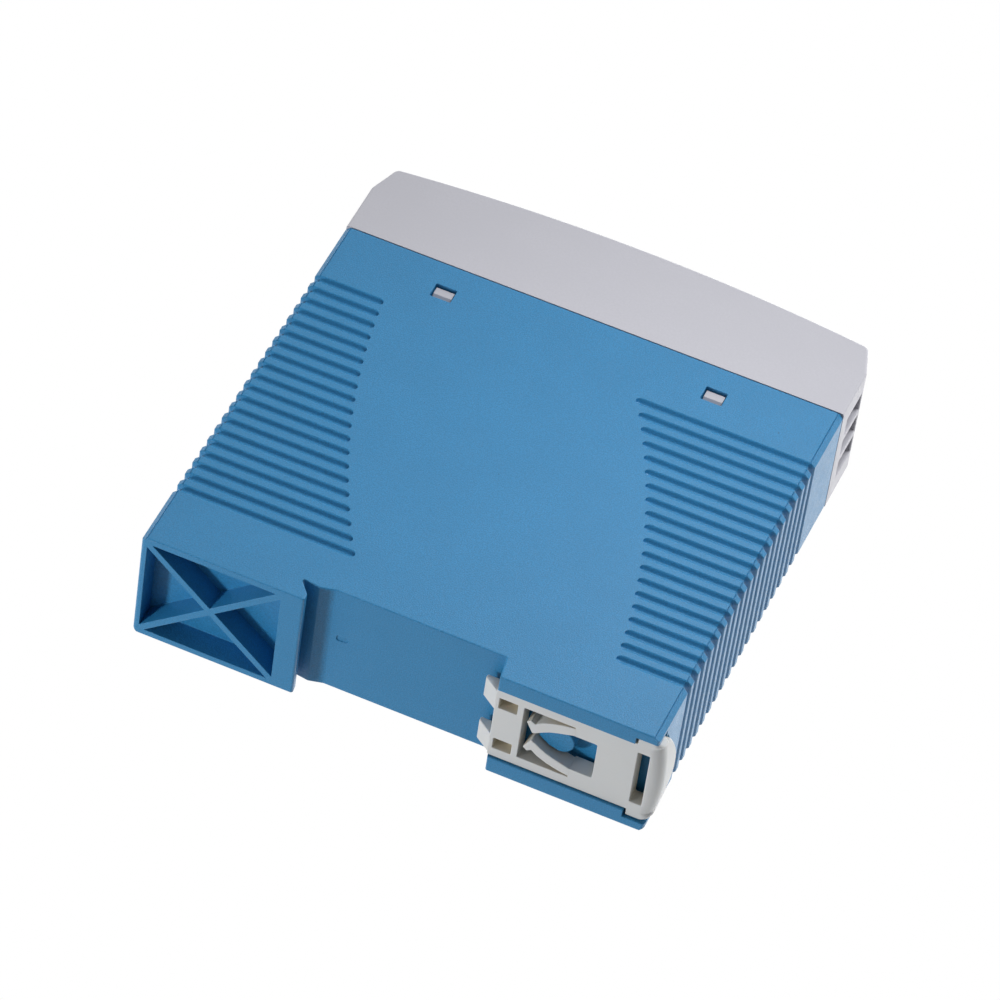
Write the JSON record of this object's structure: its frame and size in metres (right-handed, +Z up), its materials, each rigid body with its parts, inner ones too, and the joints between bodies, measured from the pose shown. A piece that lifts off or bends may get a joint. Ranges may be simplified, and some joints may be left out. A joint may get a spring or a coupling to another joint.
{
  "type": "din rail power supply",
  "caption": "Slim rail-mounted power supply: ribbed box case, clip-on front cover, screw terminals at both ends and a sprung rail latch.",
  "frame": {"origin": "centre of the flat slot floor that rests on the front face of the rail, at mid width and at the rail's mid height", "axes": "+Z up in use, +Y rearwards to the rail and wall, -Y to the terminals' front, X across the width along the rail"},
  "size_m": [0.0226, 0.1, 0.0912],
  "materials": {
    "blue_shell": "fine spark-eroded texture, self-coloured blue",
    "grey_cover": "smooth satin pale grey",
    "latch_plastic": "satin off-white, slightly waxy",
    "board_laminate": "green solder mask over glass laminate",
    "insulation_film": "pale polyester film",
    "dark_plastic": "black moulded component plastic",
    "terminal_plastic": "dark green terminal plastic",
    "blue_lacquer": "dipped blue lacquer",
    "cream_plastic": "cream moulded plastic",
    "led_lens": "green diffused epoxy",
    "clear_pipe": "clear acrylic",
    "yellow_plastic": "yellow tape and film-capacitor case",
    "black_sleeve": "shrunk black sleeve",
    "ferrite": "dark sintered ferrite",
    "copper_wire": "enamelled copper wire",
    "aluminium": "extruded, matt",
    "plated_steel": "bright zinc plating",
    "tinned_brass": "tinned"
  },
  "bodies": {
    "housing": {"body_shell": "blue_shell", "front_cover": "grey_cover", "main_circuit_board": "board_laminate", "front_circuit_board": "board_laminate", "insulation_sheet": "insulation_film", "board_link_header": "dark_plastic", "input_terminal_block": "terminal_plastic", "output_terminal_block": "terminal_plastic", "output_trimmer": "blue_lacquer", "status_led": "led_lens", "led_light_pipe": "clear_pipe", "fuse": "dark_plastic", "varistor": "blue_lacquer", "thermistor": "dark_plastic", "y_capacitor": "blue_lacquer", "x_capacitor": "yellow_plastic", "bridge_rectifier": "dark_plastic", "bulk_capacitor": "black_sleeve", "choke_core": "ferrite", "choke_winding": "copper_wire", "transformer_core": "ferrite", "transformer_bobbin": "dark_plastic", "transformer_winding": "yellow_plastic", "transistor_heat_sink": "aluminium", "switching_transistor": "dark_plastic", "rectifier_heat_sink": "aluminium", "output_rectifier": "dark_plastic", "output_capacitor_1": "black_sleeve", "output_capacitor_2": "black_sleeve", "output_inductor_core": "ferrite", "output_inductor_winding": "copper_wire", "optocoupler": "dark_plastic", "control_chip": "dark_plastic", "input_contact_1": "tinned_brass", "input_contact_2": "tinned_brass", "input_contact_3": "tinned_brass", "output_contact_1": "tinned_brass", "output_contact_2": "tinned_brass", "output_contact_3": "tinned_brass"},
    "latch": {"din_latch": "latch_plastic"},
    "spring_arm_left": {"latch_spring_arm_left": "latch_plastic"},
    "spring_arm_right": {"latch_spring_arm_right": "latch_plastic"},
    "trimmer_rotor": {"trimmer_rotor": "cream_plastic"},
    "input_screw_1": {"input_screw_1": "plated_steel"},
    "input_clamp_1": {"input_clamp_1": "plated_steel"},
    "input_screw_2": {"input_screw_2": "plated_steel"},
    "input_clamp_2": {"input_clamp_2": "plated_steel"},
    "input_screw_3": {"input_screw_3": "plated_steel"},
    "input_clamp_3": {"input_clamp_3": "plated_steel"},
    "output_screw_1": {"output_screw_1": "plated_steel"},
    "output_clamp_1": {"output_clamp_1": "plated_steel"},
    "output_screw_2": {"output_screw_2": "plated_steel"},
    "output_clamp_2": {"output_clamp_2": "plated_steel"},
    "output_screw_3": {"output_screw_3": "plated_steel"},
    "output_clamp_3": {"output_clamp_3": "plated_steel"}
  },
  "joints": [
    {"name": "latch_slide", "type": "slide", "parent": "housing", "child": "latch", "axis": [0, 0, -1], "range_m": [0, 0.0024], "stiffness_N_per_m": 2500},
    {"name": "left_arm_flex", "type": "hinge", "parent": "latch", "child": "spring_arm_left", "pos_m": [-0.00485, 0.0024, -0.0306], "axis": [0, -1, 0], "range_deg": [0, 12]},
    {"name": "right_arm_flex", "type": "hinge", "parent": "latch", "child": "spring_arm_right", "pos_m": [0.00485, 0.0024, -0.0306], "axis": [0, 1, 0], "range_deg": [0, 12]},
    {"name": "trimmer_turn", "type": "hinge", "parent": "housing", "child": "trimmer_rotor", "pos_m": [0.004, -0.0822, 0.02], "axis": [0, 1, 0], "range_deg": [-135, 135]},
    {"name": "input_screw_1_turn", "type": "hinge", "parent": "housing", "child": "input_screw_1", "pos_m": [-0.00508, -0.0908, -0.0375], "axis": [0, 1, 0], "range_deg": [0, 1440]},
    {"name": "input_clamp_1_lift", "type": "slide", "parent": "housing", "child": "input_clamp_1", "axis": [0, -1, 0], "range_m": [0, 0.0018]},
    {"name": "input_screw_2_turn", "type": "hinge", "parent": "housing", "child": "input_screw_2", "pos_m": [0, -0.0908, -0.0375], "axis": [0, 1, 0], "range_deg": [0, 1440]},
    {"name": "input_clamp_2_lift", "type": "slide", "parent": "housing", "child": "input_clamp_2", "axis": [0, -1, 0], "range_m": [0, 0.0018]},
    {"name": "input_screw_3_turn", "type": "hinge", "parent": "housing", "child": "input_screw_3", "pos_m": [0.00508, -0.0908, -0.0375], "axis": [0, 1, 0], "range_deg": [0, 1440]},
    {"name": "input_clamp_3_lift", "type": "slide", "parent": "housing", "child": "input_clamp_3", "axis": [0, -1, 0], "range_m": [0, 0.0018]},
    {"name": "output_screw_1_turn", "type": "hinge", "parent": "housing", "child": "output_screw_1", "pos_m": [-0.00508, -0.0908, 0.0375], "axis": [0, 1, 0], "range_deg": [0, 1440]},
    {"name": "output_clamp_1_lift", "type": "slide", "parent": "housing", "child": "output_clamp_1", "axis": [0, -1, 0], "range_m": [0, 0.0018]},
    {"name": "output_screw_2_turn", "type": "hinge", "parent": "housing", "child": "output_screw_2", "pos_m": [0, -0.0908, 0.0375], "axis": [0, 1, 0], "range_deg": [0, 1440]},
    {"name": "output_clamp_2_lift", "type": "slide", "parent": "housing", "child": "output_clamp_2", "axis": [0, -1, 0], "range_m": [0, 0.0018]},
    {"name": "output_screw_3_turn", "type": "hinge", "parent": "housing", "child": "output_screw_3", "pos_m": [0.00508, -0.0908, 0.0375], "axis": [0, 1, 0], "range_deg": [0, 1440]},
    {"name": "output_clamp_3_lift", "type": "slide", "parent": "housing", "child": "output_clamp_3", "axis": [0, -1, 0], "range_m": [0, 0.0018]}
  ],
  "couplings": [
    {"joint": "left_arm_flex", "follows": "latch_slide", "rad_per_m": 83.63},
    {"joint": "right_arm_flex", "follows": "latch_slide", "rad_per_m": 83.63},
    {"joint": "input_screw_1_turn", "follows": "input_clamp_1_lift", "rad_per_m": 13963},
    {"joint": "input_screw_2_turn", "follows": "input_clamp_2_lift", "rad_per_m": 13963},
    {"joint": "input_screw_3_turn", "follows": "input_clamp_3_lift", "rad_per_m": 13963},
    {"joint": "output_screw_1_turn", "follows": "output_clamp_1_lift", "rad_per_m": 13963},
    {"joint": "output_screw_2_turn", "follows": "output_clamp_2_lift", "rad_per_m": 13963},
    {"joint": "output_screw_3_turn", "follows": "output_clamp_3_lift", "rad_per_m": 13963}
  ]
}
